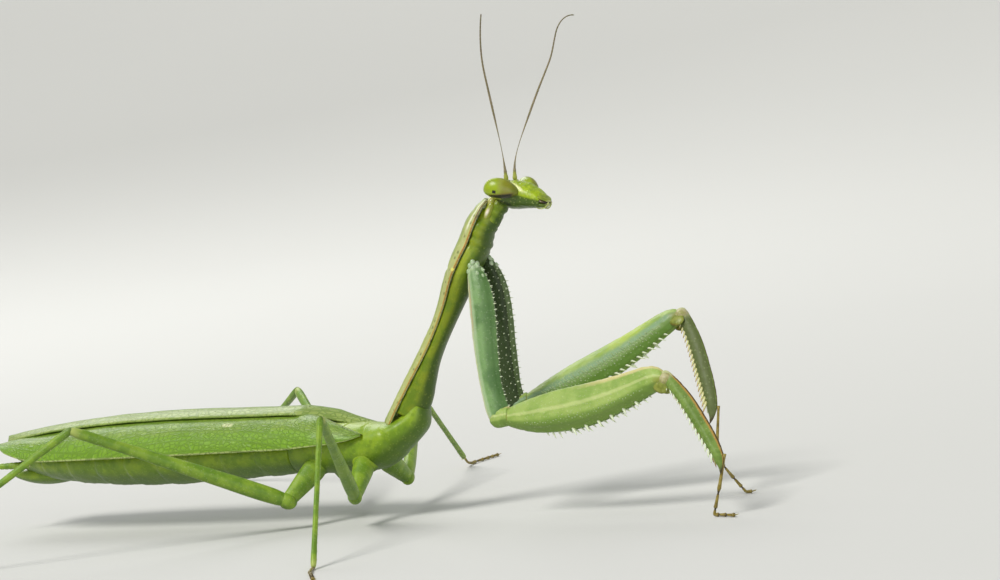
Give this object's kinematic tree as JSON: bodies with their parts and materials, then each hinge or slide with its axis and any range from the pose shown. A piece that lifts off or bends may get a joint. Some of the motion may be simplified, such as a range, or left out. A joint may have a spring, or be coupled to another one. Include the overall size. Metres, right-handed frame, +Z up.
{
  "type": "praying mantis",
  "caption": "Slender green praying mantis standing alert, trunk raised steeply, raptorial forelegs reaching ahead, wings folded flat along the back.",
  "frame": {"origin": "centre of the bounding box at floor level, under the feet", "axes": "+X along the level rear trunk towards the head, +Y to the animal's left, +Z up"},
  "size_m": [0.1025, 0.083, 0.0517],
  "materials": {
    "cuticle": "satin yellow-green cuticle",
    "pronotum": "satin green shield with reddish toothed margins",
    "leg": "satin pale green cuticle",
    "walking_leg": "satin green cuticle",
    "eye": "glossy faceted olive",
    "antenna": "fine-ringed pale brown",
    "mouth": "dark olive-brown",
    "wing": "leathery veined green",
    "tarsus": "satin yellow-brown"
  },
  "bodies": {
    "root": {"abdomen": "cuticle", "antenna_left": "antenna", "antenna_right": "antenna", "cercus_left": "walking_leg", "cercus_right": "walking_leg", "coxa_fore_left": "leg", "coxa_fore_right": "leg", "coxa_hind_left": "walking_leg", "coxa_hind_right": "walking_leg", "coxa_mid_left": "walking_leg", "coxa_mid_right": "walking_leg", "eye_left": "eye", "eye_right": "eye", "femur_fore_left": "leg", "femur_fore_right": "leg", "femur_hind_left": "walking_leg", "femur_hind_right": "walking_leg", "femur_mid_left": "walking_leg", "femur_mid_right": "walking_leg", "head": "cuticle", "hindwing_left": "wing", "hindwing_right": "wing", "labrum": "cuticle", "mandible_left": "mouth", "mandible_right": "mouth", "mesothorax": "cuticle", "metathorax": "cuticle", "neck": "cuticle", "ovipositor": "cuticle", "palp_left": "cuticle", "palp_right": "cuticle", "pronotum": "pronotum", "prosternum": "cuticle", "tarsus_fore_left": "tarsus", "tarsus_fore_right": "tarsus", "tarsus_hind_left": "tarsus", "tarsus_hind_right": "tarsus", "tarsus_mid_left": "tarsus", "tarsus_mid_right": "tarsus", "tegmen_left": "wing", "tegmen_right": "wing", "tibia_fore_left": "leg", "tibia_fore_right": "leg", "tibia_hind_left": "walking_leg", "tibia_hind_right": "walking_leg", "tibia_mid_left": "walking_leg", "tibia_mid_right": "walking_leg", "trochanter_fore_left": "leg", "trochanter_fore_right": "leg"}
  },
  "joints": []
}
